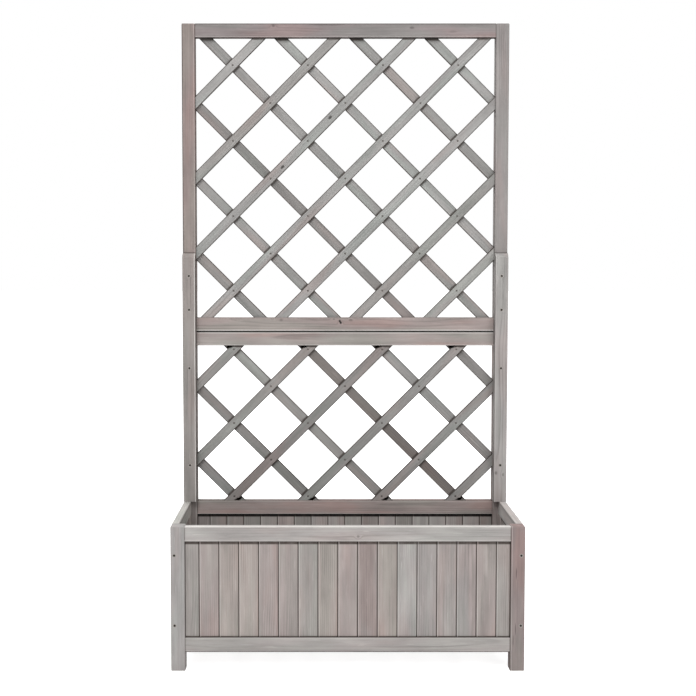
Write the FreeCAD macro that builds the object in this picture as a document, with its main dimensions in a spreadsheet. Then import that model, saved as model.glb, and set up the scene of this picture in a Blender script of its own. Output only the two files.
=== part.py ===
import FreeCAD, Part
import os
import re

import Sketcher
from FreeCAD import Placement, Rotation, Vector

# A free-standing softwood planter box with a two-part lattice trellis behind it, in millimetres.
# X runs to the right, Y from the front to the rear and Z up; the origin is on the ground, at the
# middle of the planter's width and depth.
SIZES = {
    # The whole piece.
    "overall_width": (750, "outside of the legs, left to right"),
    "overall_depth": (300, "front of the front legs to the back of the rear legs"),
    "planter_height": (310, "ground to the top of the front legs and planter rails"),
    "foot_clearance": (40, "ground to the underside of the bottom rails"),
    "rear_leg_height": (706, "ground to the joint between the two trellis frames"),
    "upper_frame_height": (706, "height of the upper trellis frame"),
    # Posts, rails and stiles.
    "leg_section": (30, "side of the square legs and upper trellis stiles"),
    "rail_height": (32, "height of every rail"),
    "rail_thickness": (16, "thickness of the planter's rails and side stiles"),
    "trellis_rail_thickness": (18, "thickness of the rails that hold the lattice"),
    "rail_setback": (1, "rail faces behind the faces of the legs"),
    "joint_reveal": (0.5, "trellis rails short of the post ends at the joint of the frames"),
    "side_stile_width": (30, "width of the stiles that end each side panel"),
    "groove_depth": (6, "depth of the grooves for boards, tenons and lattice"),
    "eased_edge": (1, "chamfer along the edges of legs, rails, stiles and planks"),
    "eased_top": (1.5, "chamfer round the tops of the front legs and upper stiles"),
    # Tongue-and-groove boards.
    "board_thickness": (8, "thickness of the wall boards"),
    "board_recess": (4.5, "board faces behind the rail faces"),
    "front_board_width": (42, "laid width of a full front board"),
    "side_board_width": (42, "laid width of a full side board"),
    "rear_board_width": (39.5, "laid width of a full rear board"),
    "board_vee": (1.5, "chamfer on each side of a seam"),
    "tongue_thickness": (2.6, "thickness of a board's tongue"),
    "tongue_length": (5, "length of a board's tongue"),
    # Lattice.
    "bays_across": (8, "half diamonds across the width between the posts"),
    "lower_bays_up": (4.2145, "half diamonds up the lower frame's opening"),
    "upper_bays_up": (7.4377, "half diamonds up the upper frame's opening"),
    "slat_width": (22, "width of a lattice slat"),
    "slat_thickness": (6, "thickness of a lattice slat"),
    "lattice_recess": (3, "front layer behind the face of the trellis rails"),
    "nail_width": (1.2, "width of a flat-sided lattice nail"),
    "nail_height": (1.6, "height of a lattice nail"),
    "nail_length": (11, "length of a lattice nail"),
    # Splice planks that tie the upper frame to the rear legs.
    "plank_width": (30, "width of a splice plank"),
    "plank_thickness": (16, "thickness of a splice plank"),
    "plank_rise": (181, "joint of the frames to the top of a splice plank"),
    "plank_bevel": (9, "bevel on the front of a plank's top end"),
    # Floor.
    "cleat_section": (18, "side of the square floor cleats"),
    "cleat_end_gap": (1, "cleat ends clear of the legs"),
    "floor_slat_width": (62, "width of a floor slat"),
    "floor_slat_thickness": (10, "thickness of a floor slat"),
    "floor_least_gap": (12, "least drainage gap between floor slats"),
    "floor_side_gap": (4, "outer floor slats clear of the legs' inner faces"),
    "floor_end_gap": (2, "floor slats clear of the rails"),
    # Countersunk wood screws.
    "screw_shank": (4, "shank diameter"),
    "screw_head": (8, "head diameter"),
    "screw_tip": (5, "length of the pointed tip"),
    "screw_point": (0.6, "diameter of the blunt end of the tip"),
    "leg_screw_length": (50, "screws through the legs into the side stiles"),
    "plank_screw_length": (40, "screws through the planks into the posts"),
    "low_screw_rise": (25.5, "lower leg screw above the bottom rail"),
    "high_screw_drop": (30, "upper leg screw below the top rail"),
    "plank_foot_screw": (86, "lowest plank screw above the plank's foot"),
    "below_joint_screw": (84, "plank screw below the joint of the frames"),
    "above_joint_screw": (51, "plank screw above the joint of the frames"),
    "plank_top_screw": (52, "highest plank screw below the plank's top"),
    # Clearances.
    "groove_gap": (0.2, "each side of a board, tenon or slat in its groove"),
    "seat_gap": (0.3, "end of a board, tenon or slat to the floor of its groove"),
    "tongue_gap": (0.15, "each side of a tongue in the next board"),
    "hole_gap": (0.1, "round a screw in its hole"),
    "nail_gap": (0.05, "round a nail in its hole"),
    "pilot_run": (2, "pilot hole past the screw's tip"),
}

# Places and lengths that follow from those sizes, as formulas for the document's expressions.
HALF_WIDTH = "overall_width / 2"
HALF_DEPTH = "overall_depth / 2"
INNER_WIDTH = "(overall_width - 2 * leg_section)"
SIDE_LENGTH = "(overall_depth - 2 * leg_section)"
OPENING_FOOT = "(foot_clearance + rail_height)"
OPENING_HEIGHT = "(planter_height - foot_clearance - 2 * rail_height)"
TOP_RAIL_FOOT = "(planter_height - rail_height)"
FRONT_RAIL_FACE = f"(rail_setback - {HALF_DEPTH})"
REAR_LEG_FACE = f"({HALF_DEPTH} - leg_section)"
REAR_RAIL_FACE = f"({REAR_LEG_FACE} + rail_setback)"
TOTAL_HEIGHT = "(rear_leg_height + upper_frame_height)"
PLANK_LENGTH = "(rear_leg_height + plank_rise - planter_height)"
COLUMN_STEP = f"({INNER_WIDTH} / bays_across)"
LATTICE_FACE = f"({REAR_RAIL_FACE} + lattice_recess)"
LOWER_LATTICE = ("planter_height", "(rear_leg_height - joint_reveal - rail_height)")
UPPER_LATTICE = ("(rear_leg_height + joint_reveal + rail_height)", f"({TOTAL_HEIGHT} - rail_height)")
TENON_LENGTH = "(groove_depth - seat_gap)"
BOARD_LAYER = ("board_recess", "(board_recess + board_thickness)")
LATTICE_LAYER = ("lattice_recess", "(lattice_recess + 2 * slat_thickness)")
SIDE_SCREW_INSET = "rail_thickness / 2"
SCREW_HOLE = "screw_shank + 2 * hole_gap"

LEFT, RIGHT = -1, 1
SIDES = (("left", LEFT), ("right", RIGHT))

doc = FreeCAD.newDocument("planter_with_trellis")
sheet = doc.addObject("Spreadsheet::Sheet", "sizes")
for row, (alias, (value, meaning)) in enumerate(SIZES.items(), start=1):
    sheet.set(f"A{row}", meaning)
    sheet.set(f"B{row}", str(value))
    sheet.setAlias(f"B{row}", alias)
doc.recompute()

nodes = []


# ---- The document's expressions, sketches and features ----

def expression(formula):
    """The formula with each size written as a cell of the sheet."""
    def in_sheet(word):
        return f"sizes.{word[0]}" if word[0] in SIZES else word[0]

    return re.sub(r"[a-z][a-z_]*", in_sheet, formula)


def number(formula):
    return float(sheet.evalExpression(expression(formula)))


def bind(item, name, formula):
    item.setExpression(name, expression(formula))


def bind_place(item, place):
    for axis, formula in zip("xyz", place):
        bind(item, f"Placement.Base.{axis}", formula)


def new_body(label, place, turn=0, is_node=True):
    """A body at a place, turned about Z by a number of degrees."""
    body = doc.addObject("PartDesign::Body", label)
    body.Label = label
    body.Placement = Placement(Vector(), Rotation(Vector(0, 0, 1), turn))
    bind_place(body, place)
    if is_node:
        nodes.append(body)
    return body


def new_sketch(body, role, name, offset="0"):
    """A sketch on one of the body's origin planes, moved along the plane's normal."""
    sketch = body.newObject("Sketcher::SketchObject", name)
    plane = next(item for item in body.Origin.OriginFeatures if item.Role == role)
    sketch.AttachmentSupport = [(plane, "")]
    sketch.MapMode = "FlatFace"
    bind(sketch, "AttachmentOffset.Base.z", offset)
    return sketch


def pin_point(sketch, geometry, vertex, place):
    for kind, formula in zip(("DistanceX", "DistanceY"), place):
        pin = sketch.addConstraint(Sketcher.Constraint(kind, -1, 1, geometry, vertex, number(formula)))
        bind(sketch, f"Constraints[{pin}]", formula)


def draw_outline(sketch, corners):
    """A closed outline through the corners, each given as two formulas."""
    points = [Vector(number(across), number(up), 0) for across, up in corners]
    for start, end in zip(points, points[1:] + points[:1]):
        sketch.addGeometry(Part.LineSegment(start, end), False)
    for index, corner in enumerate(corners):
        sketch.addConstraint(Sketcher.Constraint("Coincident", index, 2, (index + 1) % len(corners), 1))
        pin_point(sketch, index, 1, corner)


def rectangle(left, low, right, high):
    return [(left, low), (right, low), (right, high), (left, high)]


def eased_rectangle(left, low, right, high, ease="eased_edge"):
    return [
        (f"{left} + {ease}", low), (f"{right} - {ease}", low),
        (right, f"{low} + {ease}"), (right, f"{high} - {ease}"),
        (f"{right} - {ease}", high), (f"{left} + {ease}", high),
        (left, f"{high} - {ease}"), (left, f"{low} + {ease}"),
    ]


def pad(body, sketch, length, symmetric=False):
    feature = body.newObject("PartDesign::Pad", "pad")
    feature.Profile = sketch
    feature.SideType = "Symmetric" if symmetric else "One side"
    bind(feature, "Length", length)
    doc.recompute()
    return feature


def pocket(body, sketch, length, backwards=False, symmetric=False):
    """A cut against the sketch's normal, or along it, that must remove material."""
    before = body.Shape.Volume
    feature = body.newObject("PartDesign::Pocket", "pocket")
    feature.Profile = sketch
    feature.SideType = "Symmetric" if symmetric else "One side"
    feature.Reversed = backwards
    bind(feature, "Length", length)
    doc.recompute()
    if body.Shape.Volume >= before:
        raise RuntimeError(f"{body.Label}: a pocket cut nothing")
    return feature


def drill(body, role, offset, centres, backwards=False):
    """Countersunk screw holes right through."""
    sketch = new_sketch(body, role, "hole_centres", offset)
    for index, centre in enumerate(centres):
        place = Vector(number(centre[0]), number(centre[1]), 0)
        sketch.addGeometry(Part.Circle(place, Vector(0, 0, 1), number("screw_shank") / 2), False)
        pin_point(sketch, index, 3, centre)
        width = sketch.addConstraint(Sketcher.Constraint("Diameter", index, number("screw_shank")))
        bind(sketch, f"Constraints[{width}]", "screw_shank")
    doc.recompute()
    before = body.Shape.Volume
    hole = body.newObject("PartDesign::Hole", "screw_holes")
    hole.Profile = sketch
    doc.recompute()
    hole.ThreadType = "None"
    bind(hole, "Diameter", SCREW_HOLE)
    hole.DrillPoint = "Flat"
    hole.Reversed = backwards
    hole.DepthType = "ThroughAll"
    hole.HoleCutType = "Countersink"
    hole.HoleCutCustomValues = True
    hole.HoleCutCountersinkAngle = 90
    bind(hole, "HoleCutDiameter", "screw_head + 2 * hole_gap")
    doc.recompute()
    if body.Shape.Volume >= before:
        raise RuntimeError(f"{body.Label}: a hole cut nothing")


def pilot_holes(body, role, offset, centres, depth, backwards=False):
    """Blind eight-sided holes that follow the screws' own sides, each a little wider than its screw."""
    radius = "(screw_shank / 2 + hole_gap)"
    for across, up in centres:
        hole = new_sketch(body, role, "pilot_hole", offset)
        draw_outline(hole, [
            (f"{across} + {radius} * cos({angle})", f"{up} + {radius} * sin({angle})")
            for angle in range(0, 360, 45)
        ])
        pocket(body, hole, depth, backwards)


def group(label, master, places, rotation=Rotation()):
    """Copies of one piece, kept as separate solids of one node."""
    copies = []
    for place in places:
        copy = doc.addObject("App::Link", f"{label}_copy")
        copy.LinkedObject = master
        copy.Placement = Placement(Vector(), rotation)
        bind_place(copy, place)
        copies.append(copy)
    return copies


def gather(label, pieces):
    compound = doc.addObject("Part::Compound", label)
    compound.Label = label
    compound.Links = pieces
    nodes.append(compound)


# ---- Posts: front legs, rear legs and the stiles of the upper frame ----

def post(label, height, place, side, grooves, ease_top):
    """A square post whose inner face has grooves, each a layer behind the rail face and its span."""
    body = new_body(label, place)
    half = "leg_section / 2"
    section = new_sketch(body, "XY_Plane", "section")
    draw_outline(section, eased_rectangle(f"-{half}", f"-{half}", half, half))
    stock = pad(body, section, height)
    if ease_top:
        top = max(range(len(stock.Shape.Faces)), key=lambda index: stock.Shape.Faces[index].CenterOfMass.z)
        chamfer = body.newObject("PartDesign::Chamfer", "eased_top")
        chamfer.Base = (stock, [f"Face{top + 1}"])
        bind(chamfer, "Size", "eased_top")
        doc.recompute()
    for layer, low, high in grooves:
        groove = new_sketch(body, "YZ_Plane", "groove", f"{-side} * {half}")
        front = f"rail_setback - {half} + {layer[0]} - groove_gap"
        back = f"rail_setback - {half} + {layer[1]} + groove_gap"
        draw_outline(groove, rectangle(front, low, back, high))
        pocket(body, groove, "groove_depth", backwards=side == RIGHT)
    return body


def leg_screw_centres(side):
    """Centres of the two screws that hold a side panel, across the leg and up from the ground."""
    across = f"{side} * (leg_section / 2 - {SIDE_SCREW_INSET})"
    return [
        (across, f"{OPENING_FOOT} + low_screw_rise"),
        (across, f"{TOP_RAIL_FOOT} - high_screw_drop"),
    ]


PLANTER_GROOVE = (BOARD_LAYER, "foot_clearance + groove_depth", "planter_height - groove_depth")
LOWER_GROOVE = (
    LATTICE_LAYER, "planter_height - groove_depth", "rear_leg_height - joint_reveal - groove_depth",
)
UPPER_GROOVE = (
    LATTICE_LAYER, "joint_reveal + groove_depth", "upper_frame_height - groove_depth",
)
PLANK_PILOT = "plank_screw_length - plank_thickness + pilot_run"

for name, side in SIDES:
    leg_x = f"{side} * ({HALF_WIDTH} - leg_section / 2)"
    plank_x = f"{side} * (leg_section / 2 - plank_width / 2)"
    front_y = f"leg_section / 2 - {HALF_DEPTH}"
    rear_y = f"{HALF_DEPTH} - leg_section / 2"
    front_leg = post(
        f"front_leg_{name}", "planter_height", (leg_x, front_y, "0"), side, [PLANTER_GROOVE], True,
    )
    drill(front_leg, "XZ_Plane", "leg_section / 2", leg_screw_centres(side))

    rear_leg = post(
        f"rear_leg_{name}", "rear_leg_height", (leg_x, rear_y, "0"), side,
        [PLANTER_GROOVE, LOWER_GROOVE], False,
    )
    drill(rear_leg, "XZ_Plane", "-leg_section / 2", leg_screw_centres(side), backwards=True)
    plank_screws_below = [
        (plank_x, "planter_height + plank_foot_screw"),
        (plank_x, "rear_leg_height - below_joint_screw"),
    ]
    pilot_holes(rear_leg, "XZ_Plane", "leg_section / 2", plank_screws_below, PLANK_PILOT)

    stile = post(
        f"upper_trellis_stile_{name}", "upper_frame_height", (leg_x, rear_y, "rear_leg_height"), side,
        [UPPER_GROOVE], True,
    )
    plank_screws_above = [
        (plank_x, "above_joint_screw"),
        (plank_x, "plank_rise - plank_top_screw"),
    ]
    pilot_holes(stile, "XZ_Plane", "leg_section / 2", plank_screws_above, PLANK_PILOT)


# ---- Rails: show face at y 0, thickness behind it, grooves in the edges, stub tenons at the ends ----

def grooved_section(height, thickness, below, above):
    """Corners of a rail's section with a groove for a layer in its lower or upper edge."""
    corners = [("eased_edge", "0")]
    if below:
        front, back = f"{below[0]} - groove_gap", f"{below[1]} + groove_gap"
        corners += [(front, "0"), (front, "groove_depth"), (back, "groove_depth"), (back, "0")]
    corners += [(f"{thickness} - eased_edge", "0"), (thickness, "eased_edge")]
    corners += [(thickness, f"{height} - eased_edge"), (f"{thickness} - eased_edge", height)]
    if above:
        front, back = f"{above[0]} - groove_gap", f"{above[1]} + groove_gap"
        floor = f"{height} - groove_depth"
        corners += [(back, height), (back, floor), (front, floor), (front, height)]
    corners += [("eased_edge", height), ("0", f"{height} - eased_edge"), ("0", "eased_edge")]
    return corners


def rail(label, length, place, thickness="rail_thickness", below=None, above=None, tenon=None, turn=0):
    body = new_body(label, place, turn)
    section = new_sketch(body, "YZ_Plane", "section")
    draw_outline(section, grooved_section("rail_height", thickness, below, above))
    pad(body, section, length, symmetric=True)
    if tenon:
        cheeks = new_sketch(body, "YZ_Plane", "tenons")
        draw_outline(cheeks, rectangle(tenon[0], "groove_depth", tenon[1], "rail_height - groove_depth"))
        pad(body, cheeks, f"{length} + 2 * {TENON_LENGTH}", symmetric=True)
    return body


rail(
    "front_bottom_rail", INNER_WIDTH, ("0", FRONT_RAIL_FACE, "foot_clearance"),
    above=BOARD_LAYER, tenon=BOARD_LAYER,
)
rail(
    "front_top_rail", INNER_WIDTH, ("0", FRONT_RAIL_FACE, TOP_RAIL_FOOT),
    below=BOARD_LAYER, tenon=BOARD_LAYER,
)
rail(
    "rear_bottom_rail", INNER_WIDTH, ("0", REAR_RAIL_FACE, "foot_clearance"),
    above=BOARD_LAYER, tenon=BOARD_LAYER,
)
rail(
    "rear_planter_rail", INNER_WIDTH, ("0", REAR_RAIL_FACE, TOP_RAIL_FOOT), "trellis_rail_thickness",
    below=BOARD_LAYER, above=LATTICE_LAYER, tenon=BOARD_LAYER,
)
rail(
    "lower_trellis_top_rail", INNER_WIDTH, ("0", REAR_RAIL_FACE, LOWER_LATTICE[1]),
    "trellis_rail_thickness", below=LATTICE_LAYER, tenon=LATTICE_LAYER,
)
rail(
    "upper_trellis_bottom_rail", INNER_WIDTH, ("0", REAR_RAIL_FACE, "rear_leg_height + joint_reveal"),
    "trellis_rail_thickness", above=LATTICE_LAYER, tenon=LATTICE_LAYER,
)
rail(
    "upper_trellis_top_rail", INNER_WIDTH, ("0", REAR_RAIL_FACE, UPPER_LATTICE[1]),
    "trellis_rail_thickness", below=LATTICE_LAYER, tenon=LATTICE_LAYER,
)


# ---- Side panels: turned a quarter, so that their show faces look outwards ----

def side_stile(label, place, turn, end):
    """A stile whose outer edge is at x 0 and whose body runs back from that end of the panel."""
    body = new_body(label, place, turn)
    inner = f"{-end} * side_stile_width"
    eased_inner = f"{-end} * (side_stile_width - eased_edge)"
    groove_floor = f"{-end} * (side_stile_width - groove_depth)"
    front, back = f"{BOARD_LAYER[0]} - groove_gap", f"{BOARD_LAYER[1]} + groove_gap"
    section = new_sketch(body, "XY_Plane", "section")
    draw_outline(section, [
        (f"{-end} * eased_edge", "0"), (eased_inner, "0"), (inner, "eased_edge"),
        (inner, front), (groove_floor, front), (groove_floor, back), (inner, back),
        (inner, "rail_thickness - eased_edge"), (eased_inner, "rail_thickness"),
        (f"{-end} * eased_edge", "rail_thickness"), ("0", "rail_thickness - eased_edge"),
        ("0", "eased_edge"),
    ])
    pad(body, section, OPENING_HEIGHT)
    cheeks = new_sketch(body, "XY_Plane", "tenons", f"-{TENON_LENGTH}")
    draw_outline(cheeks, rectangle(f"{-end} * groove_depth", BOARD_LAYER[0], groove_floor, BOARD_LAYER[1]))
    pad(body, cheeks, f"{OPENING_HEIGHT} + 2 * {TENON_LENGTH}")
    screws = [
        (SIDE_SCREW_INSET, "low_screw_rise"),
        (SIDE_SCREW_INSET, f"{OPENING_HEIGHT} - high_screw_drop"),
    ]
    depth = "leg_screw_length - leg_section + pilot_run"
    pilot_holes(body, "YZ_Plane", "0", screws, depth, backwards=end < 0)


for name, side in SIDES:
    panel_x = f"{side} * {HALF_WIDTH}"
    turn = 90 * side
    foot_place, top_place = (panel_x, "0", "foot_clearance"), (panel_x, "0", TOP_RAIL_FOOT)
    rail(f"side_bottom_rail_{name}", SIDE_LENGTH, foot_place, above=BOARD_LAYER, turn=turn)
    rail(f"side_top_rail_{name}", SIDE_LENGTH, top_place, below=BOARD_LAYER, turn=turn)
    for position, end in (("front", -side), ("rear", side)):
        stile_y = f"{end * side} * {SIDE_LENGTH} / 2"
        side_stile(f"side_{position}_stile_{name}", (panel_x, stile_y, OPENING_FOOT), turn, end)


# ---- Wall boards: tongue on the right, groove on the left, edge boards seated in the frame ----

def board(label, width, first=False, last=False):
    """One board, show face at y 0, from its left seam at x 0, standing on its groove's floor."""
    body = new_body(label, ("0", "0", "0"), is_node=False)
    tongue = ("(board_thickness - tongue_thickness) / 2", "(board_thickness + tongue_thickness) / 2")
    slot_floor = "tongue_length + seat_gap"
    slot = (f"{tongue[0]} - tongue_gap", f"{tongue[1]} + tongue_gap")
    if first:
        left = [(f"-{TENON_LENGTH}", "board_thickness"), (f"-{TENON_LENGTH}", "0")]
    else:
        left = [
            ("0", "board_thickness"), ("0", slot[1]), (slot_floor, slot[1]), (slot_floor, slot[0]),
            ("0", slot[0]), ("0", "board_vee"), ("board_vee", "0"),
        ]
    if last:
        right = [(f"{width} + {TENON_LENGTH}", "0"), (f"{width} + {TENON_LENGTH}", "board_thickness")]
    else:
        right = [
            (f"{width} - board_vee", "0"), (width, "board_vee"), (width, tongue[0]),
            (f"{width} + tongue_length", tongue[0]), (f"{width} + tongue_length", tongue[1]),
            (width, tongue[1]), (width, "board_thickness"),
        ]
    section = new_sketch(body, "XY_Plane", "section")
    draw_outline(section, left + right)
    pad(body, section, f"{OPENING_HEIGHT} + groove_depth + {TENON_LENGTH}")
    return body


def board_wall(label, span, board_width, place_of, turn=0):
    """Full boards with an edge board at each end, at least half a board wide, to fill the span."""
    full_count = int(number(f"{span} / {board_width}") - 1)
    edge_width = f"({span} - {full_count} * {board_width}) / 2"
    starts = [f"{edge_width} + {index} * {board_width} - {span} / 2" for index in range(full_count + 1)]
    rotation = Rotation(Vector(0, 0, 1), turn)
    first_board = board(f"{label}_first", edge_width, first=True)
    full_board = board(f"{label}_full", board_width)
    last_board = board(f"{label}_last", edge_width, last=True)
    pieces = group(label, first_board, [place_of(f"-{span} / 2")], rotation)
    pieces += group(label, full_board, map(place_of, starts[:-1]), rotation)
    pieces += group(label, last_board, [place_of(starts[-1])], rotation)
    gather(label, pieces)


BOARD_FOOT = f"{OPENING_FOOT} - groove_depth"
SIDE_BOARD_SPAN = f"({SIDE_LENGTH} - 2 * side_stile_width)"

board_wall(
    "front_boards", INNER_WIDTH, "front_board_width",
    lambda start: (start, f"{FRONT_RAIL_FACE} + board_recess", BOARD_FOOT),
)
board_wall(
    "rear_boards", INNER_WIDTH, "rear_board_width",
    lambda start: (start, f"{REAR_RAIL_FACE} + board_recess", BOARD_FOOT),
)
board_wall(
    "side_boards_left", SIDE_BOARD_SPAN, "side_board_width",
    lambda start: (f"board_recess - {HALF_WIDTH}", f"-({start})", BOARD_FOOT), turn=90 * LEFT,
)
board_wall(
    "side_boards_right", SIDE_BOARD_SPAN, "side_board_width",
    lambda start: (f"{HALF_WIDTH} - board_recess", start, BOARD_FOOT), turn=90 * RIGHT,
)


# ---- Splice planks, standing on the side rails in front of the rear posts ----

for name, side in SIDES:
    plank_place = (
        f"{side} * ({HALF_WIDTH} - plank_width / 2)", f"{REAR_LEG_FACE} - plank_thickness", "planter_height",
    )
    plank = new_body(f"splice_plank_{name}", plank_place)
    section = new_sketch(plank, "XY_Plane", "section")
    draw_outline(section, eased_rectangle("-plank_width / 2", "0", "plank_width / 2", "plank_thickness"))
    pad(plank, section, PLANK_LENGTH)
    bevel = new_sketch(plank, "YZ_Plane", "bevel")
    draw_outline(bevel, [
        ("-plank_bevel", f"{PLANK_LENGTH} - 2 * plank_bevel"), ("plank_bevel", PLANK_LENGTH),
        ("plank_bevel", f"{PLANK_LENGTH} + plank_bevel"), ("-plank_bevel", f"{PLANK_LENGTH} + plank_bevel"),
    ])
    pocket(plank, bevel, "2 * plank_width", symmetric=True)
    drill(plank, "XZ_Plane", "0", [
        ("0", "plank_foot_screw"),
        ("0", "rear_leg_height - below_joint_screw - planter_height"),
        ("0", "rear_leg_height + above_joint_screw - planter_height"),
        ("0", f"{PLANK_LENGTH} - plank_top_screw"),
    ])


# ---- Floor: slats laid crosswise on two cleats ----

CLEAT_FOOT = "(foot_clearance + rail_height - floor_slat_thickness - cleat_section)"
FRONT_CLEAT_FACE = f"({FRONT_RAIL_FACE} + rail_thickness)"
REAR_CLEAT_FACE = f"({REAR_RAIL_FACE} - cleat_section)"

for name, cleat_y in (("front", FRONT_CLEAT_FACE), ("rear", REAR_CLEAT_FACE)):
    cleat = new_body(f"floor_cleat_{name}", ("0", cleat_y, CLEAT_FOOT))
    section = new_sketch(cleat, "YZ_Plane", "section")
    draw_outline(section, rectangle("0", "0", "cleat_section", "cleat_section"))
    pad(cleat, section, f"{INNER_WIDTH} - 2 * cleat_end_gap", symmetric=True)

FLOOR_SPAN = f"({INNER_WIDTH} - 2 * floor_side_gap)"
FLOOR_LENGTH = f"({REAR_RAIL_FACE} - {FRONT_CLEAT_FACE} - 2 * floor_end_gap)"
floor_count = int(number(f"({FLOOR_SPAN} + floor_least_gap) / (floor_slat_width + floor_least_gap)"))
floor_step = f"({FLOOR_SPAN} - floor_slat_width) / {floor_count - 1}"

floor_slat = new_body("floor_slat", ("0", "0", "0"), is_node=False)
section = new_sketch(floor_slat, "XZ_Plane", "section")
draw_outline(section, eased_rectangle(
    "-floor_slat_width / 2", "0", "floor_slat_width / 2", "floor_slat_thickness", "eased_edge / 2",
))
pad(floor_slat, section, FLOOR_LENGTH, symmetric=True)
gather("floor_slats", group("floor_slats", floor_slat, [
    (
        f"{index} * {floor_step} + floor_slat_width / 2 - {FLOOR_SPAN} / 2",
        f"({FRONT_CLEAT_FACE} + {REAR_RAIL_FACE}) / 2",
        f"{CLEAT_FOOT} + cleat_section",
    )
    for index in range(floor_count)
]))


# ---- Lattice: rising slats in front, falling slats behind, a nail at every crossing ----

def lattice_nails(name, centre_z, row_step, crossings):
    """Flat-sided nails and the wider holes for them, one pair of bars at each crossing."""
    nails, holes = [], []
    for column, row in crossings:
        for kind, spread, length, kept in (
            ("nail", "0", "nail_length", nails),
            ("hole", "nail_gap", "2 * slat_thickness + lattice_recess", holes),
        ):
            bar = doc.addObject("Part::Box", f"{name}_{kind}")
            bind(bar, "Length", f"nail_width + 2 * {spread}")
            bind(bar, "Width", length)
            bind(bar, "Height", f"nail_height + 2 * {spread}")
            bind_place(bar, (
                f"{column} * {COLUMN_STEP} - nail_width / 2 - {spread}",
                LATTICE_FACE,
                f"{centre_z} + {row} * {row_step} - nail_height / 2 - {spread}",
            ))
            kept.append(bar)
    tool = doc.addObject("Part::Compound", f"{name}_nail_holes")
    tool.Links = holes
    return nails, tool


def lattice_slat(label, index, slope, layer, centre_z, row_step, window, holes):
    """A sloping strip longer than the window, trimmed to its grooves and bored for the nails."""
    reach = f"({INNER_WIDTH} + {TOTAL_HEIGHT})"
    angle = f"atan({row_step} / {COLUMN_STEP})"
    blank = doc.addObject("Part::Box", f"{label}_blank")
    bind(blank, "Length", reach)
    bind(blank, "Width", "slat_thickness")
    bind(blank, "Height", "slat_width")
    # A turn about -Y lifts the strip's right end.
    blank.Placement = Placement(Vector(), Rotation(Vector(0, -slope, 0), 45))
    bind(blank, "Placement.Rotation.Angle", angle)
    # The corner is half a length and half a width back from a point on the strip's centre line.
    middle_x = f"{index} * {COLUMN_STEP} / 2"
    middle_z = f"{centre_z} - {slope * index} * {row_step} / 2"
    bind_place(blank, (
        f"{middle_x} - {reach} / 2 * cos({angle}) + {slope} * slat_width / 2 * sin({angle})",
        f"{LATTICE_FACE} + {layer} * slat_thickness",
        f"{middle_z} - {slope} * {reach} / 2 * sin({angle}) - slat_width / 2 * cos({angle})",
    ))
    trimmed = doc.addObject("Part::Common", f"{label}_trimmed")
    trimmed.Base = blank
    trimmed.Tool = window
    slat = doc.addObject("Part::Cut", label)
    slat.Label = label
    slat.Base = trimmed
    slat.Tool = holes
    nodes.append(slat)


def position_name(index):
    """Where a slat meets the middle of its frame, counted outwards from the centre."""
    if index == 0:
        return "centre"
    return f"{'left' if index < 0 else 'right'}_{(abs(index) + 1) // 2}"


def lattice(name, low, high, bays_up, phase):
    """One frame's lattice; a crossing is at its centre where the phase is 0."""
    centre_z = f"({low} + {high}) / 2"
    row_step = f"(({high} - {low}) / {bays_up})"

    window = doc.addObject("Part::Box", f"{name}_window")
    bind(window, "Length", f"{INNER_WIDTH} + 2 * {TENON_LENGTH}")
    bind(window, "Width", "4 * slat_thickness")
    bind(window, "Height", f"{high} - {low} + 2 * {TENON_LENGTH}")
    bind_place(window, (
        f"-{INNER_WIDTH} / 2 - {TENON_LENGTH}", f"{LATTICE_FACE} - slat_thickness", f"{low} - {TENON_LENGTH}",
    ))

    # Steps from the centre to the outermost crossing inside the frame, across and up.
    across = int((number("bays_across") - 1) / 2)
    upward = int(number(bays_up) / 2)
    crossings = [
        (column, row)
        for row in range(-upward, upward + 1)
        for column in range(-across, across + 1)
        if (column + row + phase) % 2 == 0
    ]
    nails, holes = lattice_nails(name, centre_z, row_step, crossings)

    last = int(number(f"(bays_across + {bays_up}) / 2"))
    indices = [index for index in range(-last, last + 1) if (index + phase) % 2 == 0]
    for kind, slope, layer in (("rising", 1, 0), ("falling", -1, 1)):
        for index in indices:
            label = f"{name}_slat_{kind}_{position_name(index)}"
            lattice_slat(label, index, slope, layer, centre_z, row_step, window, holes)
    return nails


lower_nails = lattice("lower", *LOWER_LATTICE, "lower_bays_up", phase=1)
upper_nails = lattice("upper", *UPPER_LATTICE, "upper_bays_up", phase=0)
gather("lattice_nails", lower_nails + upper_nails)


# ---- Countersunk screws, one pattern for each length ----

def screw(label, length):
    """An eight-sided screw along Z: the flat of its head at z 0, then neck, shank and tip below."""
    rings = []
    for width, drop in (
        ("screw_head", "0"), ("screw_shank", "(screw_head - screw_shank) / 2"),
        ("screw_shank", f"{length} - screw_tip"), ("screw_point", length),
    ):
        ring = doc.addObject("Part::RegularPolygon", f"{label}_ring")
        ring.Polygon = 8
        bind(ring, "Circumradius", f"{width} / 2")
        bind(ring, "Placement.Base.z", f"-({drop})")
        rings.append(ring)
    body = doc.addObject("Part::Loft", label)
    body.Sections = rings
    body.Solid = True
    body.Ruled = True
    return body


FACING_FRONT = Rotation(Vector(1, 0, 0), 90)
FACING_REAR = Rotation(Vector(1, 0, 0), -90)

leg_screw = screw("leg_screw", "leg_screw_length")
leg_screw_places = [
    (f"{side} * ({HALF_WIDTH} - {SIDE_SCREW_INSET})", height)
    for side in (LEFT, RIGHT)
    for height in (f"{OPENING_FOOT} + low_screw_rise", f"{TOP_RAIL_FOOT} - high_screw_drop")
]
front_places = [(across, f"-{HALF_DEPTH}", height) for across, height in leg_screw_places]
rear_places = [(across, HALF_DEPTH, height) for across, height in leg_screw_places]
gather(
    "leg_screws",
    group("leg_screws", leg_screw, front_places, FACING_FRONT)
    + group("leg_screws", leg_screw, rear_places, FACING_REAR),
)

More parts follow.
